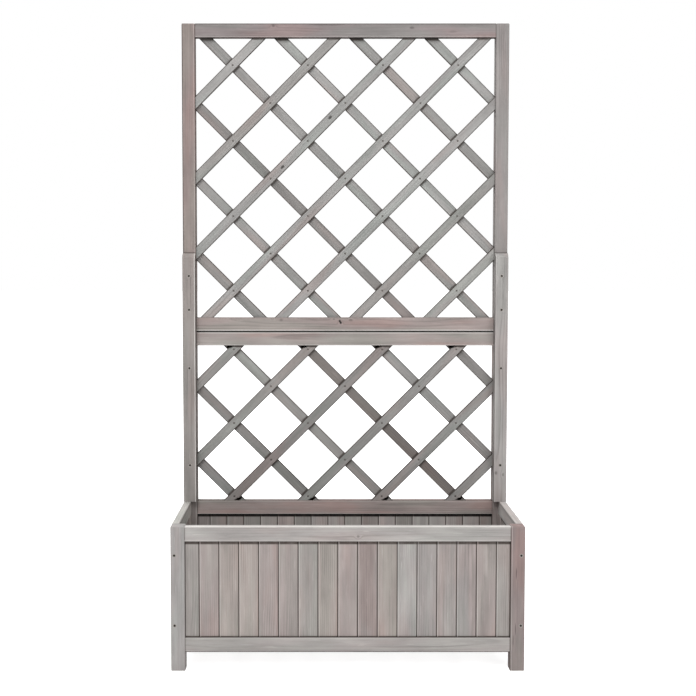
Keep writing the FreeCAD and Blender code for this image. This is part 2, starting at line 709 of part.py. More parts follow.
plank_screw = screw("plank_screw", "plank_screw_length")
plank_screw_heights = (
    "planter_height + plank_foot_screw", "rear_leg_height - below_joint_screw",
    "rear_leg_height + above_joint_screw", "rear_leg_height + plank_rise - plank_top_screw",
)
gather("plank_screws", group("plank_screws", plank_screw, [
    (f"{side} * ({HALF_WIDTH} - plank_width / 2)", f"{REAR_LEG_FACE} - plank_thickness", height)
    for side in (LEFT, RIGHT)
    for height in plank_screw_heights
], FACING_FRONT))


# ---- Checks and the finished files ----

doc.recompute()
for item in doc.Objects:
    if "Invalid" in item.State or "Error" in item.State:
        raise RuntimeError(f"{item.Label} failed: {item.State}")
for node in nodes:
    if node.Shape.isNull() or not node.Shape.isValid() or not node.Shape.Solids:
        raise RuntimeError(f"{node.Label} has no sound shape")

os.makedirs("parts", exist_ok=True)
for node in nodes:
    node.Shape.exportStep(f"parts/{node.Label}.step")
print(len(nodes), "nodes,", sum(len(node.Shape.Solids) for node in nodes), "solids")
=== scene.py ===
import math

import bpy
import numpy as np
from mathutils import Euler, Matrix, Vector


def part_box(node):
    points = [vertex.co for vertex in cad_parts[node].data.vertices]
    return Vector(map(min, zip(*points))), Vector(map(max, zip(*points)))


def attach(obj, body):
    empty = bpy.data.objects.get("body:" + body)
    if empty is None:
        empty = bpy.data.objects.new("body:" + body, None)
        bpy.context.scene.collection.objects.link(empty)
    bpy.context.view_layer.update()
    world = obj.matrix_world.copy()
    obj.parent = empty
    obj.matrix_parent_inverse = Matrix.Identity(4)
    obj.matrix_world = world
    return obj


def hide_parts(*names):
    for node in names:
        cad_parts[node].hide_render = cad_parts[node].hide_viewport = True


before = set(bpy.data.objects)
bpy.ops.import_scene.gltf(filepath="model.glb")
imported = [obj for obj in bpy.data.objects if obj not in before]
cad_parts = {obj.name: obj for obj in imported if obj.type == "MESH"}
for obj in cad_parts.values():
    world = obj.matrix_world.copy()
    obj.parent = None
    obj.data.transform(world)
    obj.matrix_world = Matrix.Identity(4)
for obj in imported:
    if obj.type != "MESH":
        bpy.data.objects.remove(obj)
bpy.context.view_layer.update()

# A planter box with a lattice trellis in grey-washed softwood. Lengths are in metres, in the frame
# of the construction: X to the right, Y to the rear, Z up, the ground at Z 0.
chance = np.random.default_rng(41)

HALF_DEPTH = 0.150            # middle of the piece to the front and the back of the legs
HALF_OPENING = 0.345          # middle of the piece to the inner faces of the posts
SIDE_OPENING = 0.180          # between the stiles of a side panel
SEAT = 0.0057                 # how far boards and slats run into their grooves
BOARD_FOOT, BOARD_TOP = 0.066, 0.2837
LATTICE_FACE = 0.124          # front of the rising slats
SLAT_WIDTH, SLAT_THICKNESS = 0.022, 0.006
BAY = 0.08625                 # half a diamond, across and up
LOWER_OPENING = (0.310, 0.6735)
UPPER_OPENING = (0.7385, 1.380)
PLANK_FACE = 0.104            # front of the splice planks
LEG_SCREW, PLANK_SCREW = 0.050, 0.040


# ---- Colours of the wash, as a maker would name them ----

def srgb(red, green, blue):
    """A colour given as it looks on a screen, turned to the linear values a shader takes."""
    values = np.array((red, green, blue), float)
    return np.where(values <= 0.04045, values / 12.92, ((values + 0.055) / 1.055) ** 2.4)


STAINS = {
    "grey": srgb(0.618, 0.594, 0.583),
    "rosy": srgb(0.620, 0.582, 0.570),
    "beige": srgb(0.627, 0.592, 0.573),
    "mossy": srgb(0.608, 0.586, 0.572),
    "slate": srgb(0.603, 0.580, 0.572),
    "dusky": srgb(0.590, 0.556, 0.545),
    "pale": srgb(0.652, 0.634, 0.624),
    "bleached": srgb(0.708, 0.696, 0.686),
    "linen": srgb(0.634, 0.612, 0.602),
    "pewter": srgb(0.611, 0.596, 0.590),
    "plum": srgb(0.544, 0.498, 0.490),
    "brick": srgb(0.556, 0.502, 0.489),
    "fawn": srgb(0.558, 0.538, 0.531),
    "sand": srgb(0.601, 0.565, 0.552),
    "blush": srgb(0.602, 0.556, 0.543),
    "mauve": srgb(0.524, 0.491, 0.489),
    "driftwood": srgb(0.556, 0.534, 0.521),
    "silver": srgb(0.592, 0.585, 0.578),
    "greige": srgb(0.577, 0.567, 0.557),
    "ashen": srgb(0.560, 0.553, 0.545),
    "lead": srgb(0.520, 0.508, 0.500),
    "umber": srgb(0.470, 0.446, 0.432),
    "pearl": srgb(0.620, 0.608, 0.598),
    "stone": srgb(0.620, 0.604, 0.596),
    "chalky": srgb(0.674, 0.662, 0.644),
}
# Stains that drift between pink and green along a timber; the others drift only a little.
LIVELY_STAINS = ("plum", "brick", "blush", "sand", "mauve")
LIVELY_DRIFT, CALM_DRIFT, BOARD_DRIFT, LATTICE_DRIFT = 0.85, 0.35, 0.45, 0.60
# What the wash is multiplied by where it drifts all the way to pink, and to green.
PINK_WASH, GREEN_WASH = (1.07, 0.935, 0.915), (0.93, 1.01, 0.98)
DARK_BROWN = srgb(0.12, 0.10, 0.09)      # the core of a knot, a painted shadow line on each stile, and the dark recess of a screw
BARE_METAL = (0.4, 0.4, 0.4)
# How strong the speckle of a planed face is, and of a sawn one.
PLANED, SAWN = 0.08, 0.30
RINGS_PER_METRE = 300.0

# What wear and painted light do to the wash: where each starts, where it is full, how strong it is
# then, and its colour. The channel is 1 on an arris that is partly rubbed and partly a painted
# highlight, -1 where stain collects and where shade is painted, and -2 where a black shadow is
# painted in a joint or under a rail.
WEAR_AND_LIGHT_TONES = (
    (0.1, 1.0, 0.80, srgb(0.86, 0.845, 0.83)),
    (0.0, -1.0, 0.92, srgb(0.23, 0.195, 0.175)),
    (-1.0, -2.0, 0.95, srgb(0.07, 0.06, 0.055)),
)

# How an edge of a timber looks from the front: how worn and painted it is on its arris, how wide
# that is, and how worn and painted it is just inside it. The dark lines are partly stain and partly
# painted shade, such as the shaded inner face of a post; the light ones are partly rubbed wash and
# partly a painted highlight, bright most of all; joint is a black shadow painted in the gap between
# two rails, with a painted highlight beside it.
EDGES = {
    "plain": (0.0, 0.0010, 0.0),
    "faint": (-0.40, 0.0014, 0.25),
    "lined": (-1.0, 0.0015, 0.0),
    "edged": (-0.80, 0.0005, 0.40),
    "strong": (-1.0, 0.0006, 0.80),
    "rubbed": (0.40, 0.0010, 0.40),
    "bright": (1.0, 0.0010, 0.30),
    "joint": (-2.0, 0.0013, 1.0),
}

# Where the painted shade at a rail's end, which butts against a post, fades from dark to none, from
# the end of its tenon or of its body.
RAIL_END = {"x": (0.0064, 0.0084), "y": (0.0006, 0.0022)}
RAIL_END_SHADE = 0.55         # how dark the painted shade at that end is
NO_KNOT = 50.0                # knot sizes away from a knot where there is none


# ---- Node helpers ----

class Recipe:
    """The shader nodes of one material, wired as they are added."""

    def __init__(self, name):
        self.material = bpy.data.materials.new(name)
        self.material.use_nodes = True
        self.tree = self.material.node_tree
        self.tree.nodes.clear()

    def add(self, kind, plugs=(), **settings):
        """A node of that kind; plugs are pairs of a socket's name or number and what goes in it."""
        made = self.tree.nodes.new(kind)
        for setting, value in settings.items():
            setattr(made, setting, value)
        for socket, value in dict(plugs).items():
            self.plug(made.inputs[socket], value)
        return made

    def plug(self, socket, value):
        if isinstance(value, bpy.types.NodeSocket):
            self.tree.links.new(value, socket)
        else:
            socket.default_value = value

    def carried(self, name, output):
        """What the points of the mesh carry under that name."""
        return self.add("ShaderNodeAttribute", attribute_name=name).outputs[output]

    def math(self, operation, first, second=0.0, third=0.0):
        plugs = {0: first, 1: second, 2: third}
        return self.add("ShaderNodeMath", plugs, operation=operation).outputs[0]

    def vector(self, operation, first, second=(0.0, 0.0, 0.0)):
        node = self.add("ShaderNodeVectorMath", {0: first}, operation=operation)
        if operation == "SCALE":
            self.plug(node.inputs["Scale"], second)
        elif operation != "LENGTH":
            self.plug(node.inputs[1], second)
        return node.outputs["Value" if operation == "LENGTH" else "Vector"]

    def noise(self, place, stretch, detail, roughness=0.5):
        """Noise from 0 to 1, about 0.5, on a place stretched by a factor along each axis."""
        stretched = self.vector("MULTIPLY", place, stretch)
        plugs = {"Vector": stretched, "Scale": 1.0, "Detail": detail, "Roughness": roughness}
        return self.add("ShaderNodeTexNoise", plugs).outputs[0]

    def span(self, value, low, high, start=0.0, end=1.0):
        """The value eased from start at low to end at high, and held outside."""
        plugs = {"Value": value, "From Min": low, "From Max": high, "To Min": start, "To Max": end}
        return self.add("ShaderNodeMapRange", plugs, interpolation_type="SMOOTHSTEP").outputs[0]

    def blend(self, amount, under, over, mode="MIX"):
        node = self.add("ShaderNodeMix", data_type="RGBA", blend_type=mode)
        self.plug(node.inputs[0], amount)
        self.plug(node.inputs[6], under)
        self.plug(node.inputs[7], over)
        return node.outputs[2]

    def finish(self, **plugs):
        shader = self.add("ShaderNodeBsdfPrincipled")
        for socket, value in plugs.items():
            self.plug(shader.inputs[socket.replace("_", " ")], value)
        self.add("ShaderNodeOutputMaterial", {"Surface": shader.outputs[0]})
        return self.material


def colour(values):
    """Three linear values as a shader takes them, with nothing seen through."""
    return (*[float(value) for value in values], 1.0)


def washed_wood(wood, grain, stain, wear_and_painted_light, knots_and_marks, sawn, drift):
    """Grey-washed softwood on a grain place: fibres along its X, the pith at its Y and Z 0.

    Growth rings are bands of the distance from the pith, bent by slow noise and pushed out round
    each knot. Streaks of the wash, hairlines and scratches are noise stretched along the fibres,
    sawn is how strong the speckle of the face is, and drift how far the wash goes to pink and to
    green in slow clouds. Wear and painted light and shade are read as WEAR_AND_LIGHT_TONES says.
    A knot, or another dark mark such as a painted shadow line, is a place around it, in knot
    sizes, and how dark its core is.
    """
    bend = wood.noise(grain, (2.0, 14.0, 14.0), 2.0)
    across = wood.vector("MULTIPLY", grain, (0.0, 1.0, 1.0))
    radius = wood.math("MULTIPLY_ADD", bend, 0.022, wood.vector("LENGTH", across))
    dark_core = 0.0
    for spread_place, darkness in knots_and_marks:
        spread = wood.vector("LENGTH", spread_place)
        squared = wood.math("MULTIPLY", spread, spread)
        lift = wood.math("EXPONENT", wood.math("MULTIPLY", squared, -0.3))
        radius = wood.math("MULTIPLY_ADD", lift, 0.003, radius)
        dark_core = wood.math("MAXIMUM", dark_core, wood.span(spread, 0.5, 1.2, darkness, 0.0))
    ring = wood.math("FRACT", wood.math("MULTIPLY", radius, RINGS_PER_METRE))
    darkening, ending = wood.span(ring, 0.50, 0.88), wood.span(ring, 0.90, 1.0, 1.0, 0.0)
    shown = wood.span(wood.noise(grain, (2.6, 24.0, 24.0), 1.0), 0.40, 0.60, 0.15, 1.0)
    rings = wood.math("MULTIPLY", wood.math("MULTIPLY", darkening, ending), shown)

    streak = wood.noise(grain, (3.0, 190.0, 190.0), 3.0, 0.6)
    cloud = wood.noise(grain, (4.0, 22.0, 22.0), 2.0)
    blotch = wood.noise(grain, (9.0, 40.0, 40.0), 2.0)
    hair = wood.noise(grain, (9.0, 520.0, 520.0), 1.0)
    scratch = wood.noise(grain, (20.0, 610.0, 610.0), 1.0)
    fibre = wood.noise(grain, (70.0, 1500.0, 1500.0), 2.0, 0.6)
    speckle = wood.noise(grain, (190.0, 430.0, 430.0), 2.0, 0.7)

    pink = wood.blend(drift, stain, colour(PINK_WASH), "MULTIPLY")
    shade = wood.blend(wood.span(cloud, 0.50, 0.64), stain, pink)
    green = wood.blend(drift, shade, colour(GREEN_WASH), "MULTIPLY")
    shade = wood.blend(wood.span(cloud, 0.38, 0.50, 1.0, 0.0), shade, green)
    light = 1.0
    for pattern, strength in ((streak, 0.29), (blotch, 0.64), (fibre, 0.17), (speckle, sawn)):
        light = wood.math("MULTIPLY_ADD", wood.math("SUBTRACT", pattern, 0.5), strength, light)
    dark_hair, light_hair = wood.span(hair, 0.60, 0.70), wood.span(hair, 0.30, 0.40, 1.0, 0.0)
    pale_scratch = wood.span(scratch, 0.68, 0.74)
    for line, strength in (
        (rings, -0.21), (dark_hair, -0.06), (light_hair, 0.05), (pale_scratch, 0.24),
    ):
        light = wood.math("MULTIPLY_ADD", line, strength, light)
    lit = wood.vector("SCALE", shade, light)
    lit = wood.blend(dark_core, lit, colour(DARK_BROWN))
    patches = wood.span(blotch, 0.2, 0.6, 0.75, 1.0)
    for start, end, amount, tone in WEAR_AND_LIGHT_TONES:
        low, high = sorted((start, end))
        at_low, at_high = (0.0, amount) if start == low else (amount, 0.0)
        patchy = wood.math("MULTIPLY", wood.span(wear_and_painted_light, low, high, at_low, at_high), patches)
        lit = wood.blend(patchy, lit, colour(tone))

    height = wood.math("MULTIPLY_ADD", rings, -0.35, wood.math("MULTIPLY_ADD", fibre, 0.5, streak))
    bump = wood.add("ShaderNodeBump", {"Strength": 0.35, "Distance": 0.0006, "Height": height})
    rough = wood.math("MULTIPLY_ADD", streak, -0.2, 0.88)
    return wood.finish(
        Base_Color=lit, Roughness=rough, Specular_IOR_Level=0.3, Normal=bump.outputs[0],
    )


def stained_pieces_wood(name, knotted=False, sawn=PLANED, drift=BOARD_DRIFT):
    """The wood of pieces whose meshes carry their own grain, stain, wear and painted light and
    shade, and knot.
    """
    wood = Recipe(name)
    grain, stain = wood.carried("grain", "Vector"), wood.carried("stain", "Color")
    knots_and_marks = [(wood.carried("knot", "Vector"), 0.80)] if knotted else []
    return washed_wood(wood, grain, stain, wood.carried("wear_and_painted_light", "Fac"), knots_and_marks, sawn, drift)


def timber_wood(name, along, low, high, stain, edges, seed, knots_and_marks):
    """The wood of one box-shaped timber, on Object coordinates.

    The place is centred on the timber and turned so that the fibres run along X. The two long edges
    seen from the front, or from above on a side rail, look as EDGES says, the arrises in general
    are a little lighter, partly rubbed and partly a painted highlight, and a rail has painted shade
    at its ends, which butt against the posts.
    """
    wood = Recipe(name)
    middle = [(a + b) / 2 for a, b in zip(low, high)]
    half = [(b - a) / 2 for a, b in zip(low, high)]
    place = wood.add("ShaderNodeTexCoord").outputs["Object"]
    centred = wood.add(
        "ShaderNodeMapping", {"Vector": place, "Location": [-m for m in middle]},
    ).outputs[0]
    turn = {
        "x": (0.0, 0.0, 0.0), "y": (0.0, 0.0, -math.pi / 2), "z": (0.0, math.pi / 2, 0.0),
    }[along]
    luck = np.random.default_rng(seed)
    pith = (
        luck.uniform(0, 40),
        luck.choice((-1, 1)) * luck.uniform(0.02, 0.05),
        luck.uniform(-0.02, 0.02),
    )
    grain = wood.add(
        "ShaderNodeMapping", {"Vector": centred, "Rotation": turn, "Location": pith},
    ).outputs[0]
    above_low = wood.vector("ADD", centred, half)
    below_high = wood.vector("SUBTRACT", half, centred)
    from_low = wood.add("ShaderNodeSeparateXYZ", {0: above_low}).outputs
    from_high = wood.add("ShaderNodeSeparateXYZ", {0: below_high}).outputs
    x, y, z = [wood.math("MINIMUM", a, b) for a, b in zip(from_low, from_high)]
    # The second smallest distance to a face is 0 on every edge.
    nearest = wood.math("MINIMUM", x, wood.math("MINIMUM", y, z))
    farthest = wood.math("MAXIMUM", x, wood.math("MAXIMUM", y, z))
    total = wood.math("ADD", x, wood.math("ADD", y, z))
    second = wood.math("SUBTRACT", wood.math("SUBTRACT", total, nearest), farthest)
    # Every arris gets a faint light line, partly rubbed wash and partly a painted highlight.
    wear_and_painted_light = wood.span(second, 0.0004, 0.0012, 0.35, 0.0)

    # The line on each edge fades behind the show face, and the band beside it doesn't.
    side = 2 if along == "x" else 0
    show_face = from_high[2] if along == "y" else from_low[1]
    shown = wood.span(show_face, 0.003, 0.010, 1.0, 0.35)
    for edge, inwards in zip(edges.split(), (from_low[side], from_high[side])):
        on_arris, wide, inside = EDGES[edge]
        line = wood.math("MULTIPLY", wood.span(inwards, wide, wide + 0.0008, on_arris, 0.0), shown)
        band = wood.math(
            "MULTIPLY", wood.span(inwards, 0.0010, 0.0020),
            wood.span(inwards, 0.0028, 0.0042, inside, 0.0),
        )
        wear_and_painted_light = wood.math("ADD", wear_and_painted_light, wood.math("ADD", line, band))
    # A rail gets painted shade at its ends, where they butt against the posts.
    if along != "z":
        from_end = x if along == "x" else y
        dark_end = wood.span(from_end, *RAIL_END[along], RAIL_END_SHADE, 0.0)
        wear_and_painted_light = wood.math("SUBTRACT", wear_and_painted_light, dark_end)
    marks = []
    for spot, size, darkness in knots_and_marks:
        shifted = wood.vector("SUBTRACT", place, spot)
        marks.append((wood.vector("MULTIPLY", shifted, [1 / s for s in size]), darkness))
    sawn = SAWN if along == "y" else PLANED
    drift = LIVELY_DRIFT if stain in LIVELY_STAINS else CALM_DRIFT
    return washed_wood(wood, grain, colour(STAINS[stain]), wear_and_painted_light, marks, sawn, drift)


def fastener_steel(name):
    """Dull zinc-plated steel: cloudy brightness, and darker where the wear_and_painted_light
    channel is below 0.
    """
    steel = Recipe(name)
    place = steel.add("ShaderNodeTexCoord").outputs["Object"]
    cloud = steel.noise(place, (900.0, 900.0, 900.0), 3.0)
    dark_amount = steel.span(steel.carried("wear_and_painted_light", "Fac"), -1.0, 0.0, 1.0, 0.0)
    bright = steel.blend(cloud, colour(srgb(0.50, 0.48, 0.46)), colour(srgb(0.66, 0.64, 0.62)))
    darkened = steel.blend(dark_amount, bright, colour(DARK_BROWN))
    bump = steel.add("ShaderNodeBump", {"Strength": 0.2, "Distance": 0.0001, "Height": cloud})
    rough = steel.math("MULTIPLY_ADD", cloud, 0.25, 0.38)
    return steel.finish(
        Base_Color=darkened, Metallic=0.8, Roughness=rough, Normal=bump.outputs[0],
    )


# ---- Surfaces: grids of points, stitched and capped ----

class Surface:
    """One object of closed skins, each joined from rings of points, and what each point carries."""

    def __init__(self):
        self.points, self.faces = [], []
        self.carried = {"grain": [], "stain": [], "wear_and_painted_light": [], "knot": []}
        self.count = 0

    def add_skin(self, rings, grain, stain, wear_and_painted_light, knot=None):
        """Stations by points by three: quads between neighbouring stations, and a face at each end.

        The volume between the quads and the middle of the skin is summed. Where it comes out
        negative, the faces looked inwards, so they are turned round.
        """
        stations, around = rings.shape[:2]
        index = np.arange(stations * around).reshape(stations, around) + self.count
        after = np.roll(index, -1, axis=1)
        quads = np.stack([index[:-1], after[:-1], after[1:], index[1:]], axis=-1).reshape(-1, 4)
        faces = quads.tolist() + [index[0][::-1].tolist(), index[-1].tolist()]
        a, b, c, d = (rings - rings.mean((0, 1))).reshape(-1, 3)[(quads - self.count).T]
        volume = np.sum(a * np.cross(b, c)) + np.sum(a * np.cross(c, d))
        self.faces += faces if volume > 0 else [face[::-1] for face in faces]
        flat = rings.reshape(-1, 3)
        self.points.append(flat)
        self.carried["grain"].append(grain.reshape(-1, 3))
        self.carried["stain"].append(np.tile([*stain, 1.0], (len(flat), 1)))
        self.carried["wear_and_painted_light"].append(np.broadcast_to(wear_and_painted_light, (stations, around)).reshape(-1))
        far = np.full((len(flat), 3), NO_KNOT)
        self.carried["knot"].append(far if knot is None else knot.reshape(-1, 3))
        self.count += len(flat)

    def build(self, name, material, slot, *nodes):
        """The finished object, smooth but for its arrises, in place of those nodes."""
        mesh = bpy.data.meshes.new(name)
        mesh.from_pydata(np.concatenate(self.points).tolist(), [], self.faces)
        for key, kind, field in (
            ("grain", "FLOAT_VECTOR", "vector"), ("stain", "FLOAT_COLOR", "color"),
            ("wear_and_painted_light", "FLOAT", "value"), ("knot", "FLOAT_VECTOR", "vector"),
        ):
            layer = mesh.attributes.new(key, kind, "POINT")
            values = np.concatenate(self.carried[key]).astype(np.float32)
            layer.data.foreach_set(field, values.ravel())
        mesh.validate()
        mesh.shade_smooth()
        mesh.set_sharp_from_angle(angle=math.radians(35))
        piece = bpy.data.objects.new(name, mesh)
        bpy.context.scene.collection.objects.link(piece)
        mesh.materials.append(material)
        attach(piece, "root")
        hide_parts(*nodes)


def eased_outline(corners, ease, steps=3, guard=0.0007):
    """A closed outline with each corner rounded by an ease, as points and how rubbed each one is.

    A rounded corner is a quarter-circle arc between its tangent points, with a point a little
    further out on each edge, so that the rubbed arris keeps its width.
    """
    corners = np.array(corners, float)
    points, rubbed = [], []
    for before, here, after in zip(np.roll(corners, 1, 0), corners, np.roll(corners, -1, 0)):
        back = (before - here) / np.linalg.norm(before - here)
        on = (after - here) / np.linalg.norm(after - here)
        turn = np.linspace(0, np.pi / 2, steps + 1)[:, None]
        arc = here + ease * (back * (1 - np.sin(turn)) + on * (1 - np.cos(turn)))
        points += [here + back * (ease + guard), *arc, here + on * (ease + guard)]
        rubbed += [0.0, *[1.0] * (steps + 1), 0.0]
    return np.array(points), np.array(rubbed)


def random_pith():
    """How far a piece lies along its log and away from the pith."""
    side = chance.choice((-1, 1))
    along = chance.uniform(0, 40)
    return np.array([along, side * chance.uniform(0.02, 0.06), chance.uniform(0.02, 0.06)])


# ---- Floor, backdrop and light ----

def stage_and_light():
    """A white floor and backdrop, seen brighter than the light they give, and four lamps."""
    paper = Recipe("white_paper_floor")
    ray = paper.add("ShaderNodeLightPath")
    seen = paper.math("MAXIMUM", ray.outputs["Is Camera Ray"], ray.outputs["Is Glossy Ray"])
    place = paper.add("ShaderNodeTexCoord").outputs["Object"]
    tooth = paper.noise(place, (300.0, 300.0, 300.0), 2.0)
    sheet = paper.blend(tooth, colour((0.80, 0.80, 0.80)), colour((0.82, 0.82, 0.82)))
    diffuse = paper.add("ShaderNodeBsdfDiffuse", {"Color": sheet})
    strength = paper.math("MULTIPLY", seen, 0.82)
    glow = paper.add("ShaderNodeEmission", {"Color": (1, 1, 1, 1), "Strength": strength})
    both = paper.add("ShaderNodeAddShader", {0: diffuse.outputs[0], 1: glow.outputs[0]})
    paper.add("ShaderNodeOutputMaterial", {"Surface": both.outputs[0]})

    reach = 30.0
    mesh = bpy.data.meshes.new("paper_floor")
    corners = [(-reach, -reach, 0), (reach, -reach, 0), (reach, reach, 0), (-reach, reach, 0)]
    mesh.from_pydata(corners, [], [(0, 1, 2, 3)])
    mesh.materials.append(paper.material)
    floor = bpy.data.objects.new("paper_floor", mesh)
    bpy.context.scene.collection.objects.link(floor)

    world = bpy.data.worlds.new("studio")
    bpy.context.scene.world = world
    world.use_nodes = True
    tree = world.node_tree
    ray = tree.nodes.new("ShaderNodeLightPath")
    seen = tree.nodes.new("ShaderNodeMath")
    seen.operation = "MAXIMUM"
    tree.links.new(ray.outputs["Is Camera Ray"], seen.inputs[0])
    tree.links.new(ray.outputs["Is Glossy Ray"], seen.inputs[1])
    level = tree.nodes.new("ShaderNodeMapRange")
    level.inputs["To Min"].default_value = 0.52
    level.inputs["To Max"].default_value = 1.0
    tree.links.new(seen.outputs[0], level.inputs["Value"])
    background = tree.nodes["Background"]
    background.inputs["Color"].default_value = (1, 1, 1, 1)
    tree.links.new(level.outputs[0], background.inputs["Strength"])

    for name, place, aim, size, power in (
        ("key_softbox", (-1.2, -3.4, 4.4), (0, 0, 0.7), 2.0, 118),
        ("fill_softbox", (2.8, -3.6, 2.0), (0, 0, 0.7), 2.4, 50),
        ("top_softbox", (0.0, -0.5, 5.2), (0, 0, 0.3), 6.0, 80),
        ("back_softbox", (-1.8, 3.6, 3.0), (0, 0, 0.6), 2.4, 75),
    ):
        lamp = bpy.data.lights.new(name, "AREA")
        lamp.shape = "DISK"
        lamp.size = size
        lamp.energy = power
        holder = bpy.data.objects.new(name, lamp)
        holder.location = place
        direction = np.array(aim) - np.array(place)
        level_reach = math.hypot(direction[0], direction[1])
        holder.rotation_euler = Euler((
            math.atan2(level_reach, -direction[2]), 0, math.atan2(-direction[0], direction[1]),
        ))
        bpy.context.scene.collection.objects.link(holder)


def photograph_camera():
    """A camera as high as the middle of the trellis, a little to its left, tilted a little down."""
    tilt = 3.278
    lens = bpy.data.cameras.new("camera")
    lens.lens = 60.75
    lens.sensor_width = 36
    lens.shift_x = 0.0433
    lens.shift_y = -0.03
    lens.clip_end = 200
    camera = bpy.data.objects.new("camera", lens)
    camera.location = (-0.0632, -2.600, 0.8721)
    camera.rotation_euler = Euler((math.radians(90 - tilt), 0, 0))
    bpy.context.scene.collection.objects.link(camera)
    bpy.context.scene.camera = camera
    bpy.context.scene.view_settings.view_transform = "Standard"


# ---- Timbers whose shape the construction already has ----

def dress_timbers():
    """Rails, posts, stiles, planks and cleats keep their construction mesh, with eased edges."""
    timbers = {
        "front_leg_left": ("z", "pewter", "faint faint"),
        # The right front leg's darker plum stain is partly its own tone and partly painted shade.
        "front_leg_right": ("z", "plum", "edged faint"),
        "rear_leg_left": ("z", "dusky", "lined edged"),
        "rear_leg_right": ("z", "dusky", "faint lined"),
        "upper_trellis_stile_left": ("z", "brick", "lined edged"),
        "upper_trellis_stile_right": ("z", "fawn", "faint faint"),
        "front_bottom_rail": ("x", "linen", "lined edged"),
        "front_top_rail": ("x", "pale", "rubbed bright"),
        "rear_bottom_rail": ("x", "grey", "plain plain"),
        "rear_planter_rail": ("x", "blush", "bright edged"),
        "lower_trellis_top_rail": ("x", "sand", "rubbed joint"),
        "upper_trellis_bottom_rail": ("x", "blush", "joint faint"),
        "upper_trellis_top_rail": ("x", "mauve", "edged lined"),
        "side_bottom_rail_left": ("y", "grey", "plain plain"),
        "side_bottom_rail_right": ("y", "rosy", "plain plain"),
        "side_top_rail_left": ("y", "chalky", "faint faint"),
        "side_top_rail_right": ("y", "bleached", "faint faint"),
        "side_front_stile_left": ("z", "grey", "plain plain"),
        "side_front_stile_right": ("z", "grey", "plain plain"),
        "side_rear_stile_left": ("z", "beige", "plain plain"),
        "side_rear_stile_right": ("z", "rosy", "plain plain"),
        "splice_plank_left": ("z", "driftwood", "faint strong"),
        "splice_plank_right": ("z", "stone", "edged faint"),
        "floor_cleat_front": ("x", "dusky", "plain plain"),
        "floor_cleat_rear": ("x", "dusky", "plain plain"),
    }
    # Knots, cracks, one staple and a painted shadow line on each stile just above its plank: where,
    # how large along X, Y and Z, and how dark.
    marks = {
        "upper_trellis_top_rail": [
            ((-0.165, 0.121, 1.4075), (0.004, 0.02, 0.004), 0.45),
            ((0.152, 0.121, 1.402), (0.006, 0.02, 0.003), 0.42),
            ((0.246, 0.121, 1.393), (0.010, 0.02, 0.003), 0.20),
        ],
        "front_top_rail": [((0.022, -0.149, 0.2885), (0.0035, 0.02, 0.003), 0.35)],
        "splice_plank_right": [
            ((0.350, 0.104, 0.378), (0.003, 0.02, 0.004), 0.45),
            ((0.367, 0.104, 0.374), (0.003, 0.02, 0.004), 0.35),
        ],
        "front_leg_right": [
            ((0.3567, -0.150, 0.210), (0.0012, 0.02, 0.013), 0.50),
            ((0.3560, -0.150, 0.090), (0.0011, 0.02, 0.014), 0.50),
            ((0.3512, -0.150, 0.066), (0.0011, 0.02, 0.013), 0.45),
        ],
        "upper_trellis_bottom_rail": [
            ((-0.0124, 0.121, 0.7302), (0.0027, 0.02, 0.0034), 1.0),
            ((-0.0100, 0.121, 0.7266), (0.0027, 0.02, 0.0034), 1.0),
            ((-0.148, 0.121, 0.733), (0.003, 0.02, 0.002), 0.40),
            ((0.013, 0.121, 0.733), (0.004, 0.02, 0.002), 0.35),
            ((-0.026, 0.121, 0.735), (0.003, 0.02, 0.002), 0.35),
        ],
        "upper_trellis_stile_left": [((-0.360, 0.120, 0.8883), (0.060, 0.02, 0.0014), 0.50)],
        "upper_trellis_stile_right": [((0.360, 0.120, 0.8883), (0.060, 0.02, 0.0014), 0.45)],
    }
    for seed, (node, (along, stain, edges)) in enumerate(timbers.items(), start=7):
        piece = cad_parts[node]
        low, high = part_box(node)
        spots = marks.get(node, ())
        wood = timber_wood(f"washed_{node}", along, low, high, stain, edges, seed, spots)
        piece.data.materials.clear()
        piece.data.materials.append(wood)
        weld = piece.modifiers.new("weld", "WELD")
        weld.merge_threshold = 0.00001
        ease = piece.modifiers.new("ease", "BEVEL")
        ease.width = 0.0004
        ease.segments = 2
        ease.limit_method = "ANGLE"
        ease.angle_limit = math.radians(30)


# ---- Tongue-and-groove boards ----

def board_outline(width, first, last):
    """A board's section: show face at depth 0, a vee at each seam, a tongue right, a groove left.

    The vee and the face beside the frame are darker, partly wash and partly painted shade, and the
    left arris of each board is lighter, partly rubbed and partly a painted highlight.
    """
    vee, thickness, tongue = 0.0015, 0.008, 0.005
    near, far = 0.0027, 0.0053
    slot_near, slot_far, slot = near - 0.00015, far + 0.00015, tongue + 0.0003
    if first:
        left = [(-SEAT, thickness), (-SEAT, 0), (0.0008, 0), (0.0024, 0)]
        left_wash_light_and_shade = [0, -1, -1, 0]
    else:
        left = [
            (0.0012, thickness), (0, thickness), (0, slot_far), (slot, slot_far), (slot, slot_near),
            (0, slot_near), (0, vee), (vee * 0.55, vee * 0.45), (vee, 0), (vee + 0.0016, 0),
            (vee + 0.0024, 0),
        ]
        left_wash_light_and_shade = [0, -1, -1, -1, -1, -1, -0.95, -0.8, 0.5, 0.4, 0]
    if last:
        right = [
            (width - 0.0024, 0), (width - 0.0008, 0), (width + SEAT, 0), (width + SEAT, thickness),
        ]
        right_wash_light_and_shade = [0, -1, -1, 0]
    else:
        right = [
            (width - vee - 0.0012, 0), (width - vee, 0), (width - vee * 0.45, vee * 0.45),
            (width, vee), (width, near), (width + tongue, near), (width + tongue, far),
            (width, far), (width, thickness), (width - 0.0012, thickness),
        ]
        right_wash_light_and_shade = [0, -0.3, -0.8, -0.95, -1, -1, -1, -1, -1, 0]
    return np.array(left + right, float), np.array(left_wash_light_and_shade + right_wash_light_and_shade, float)


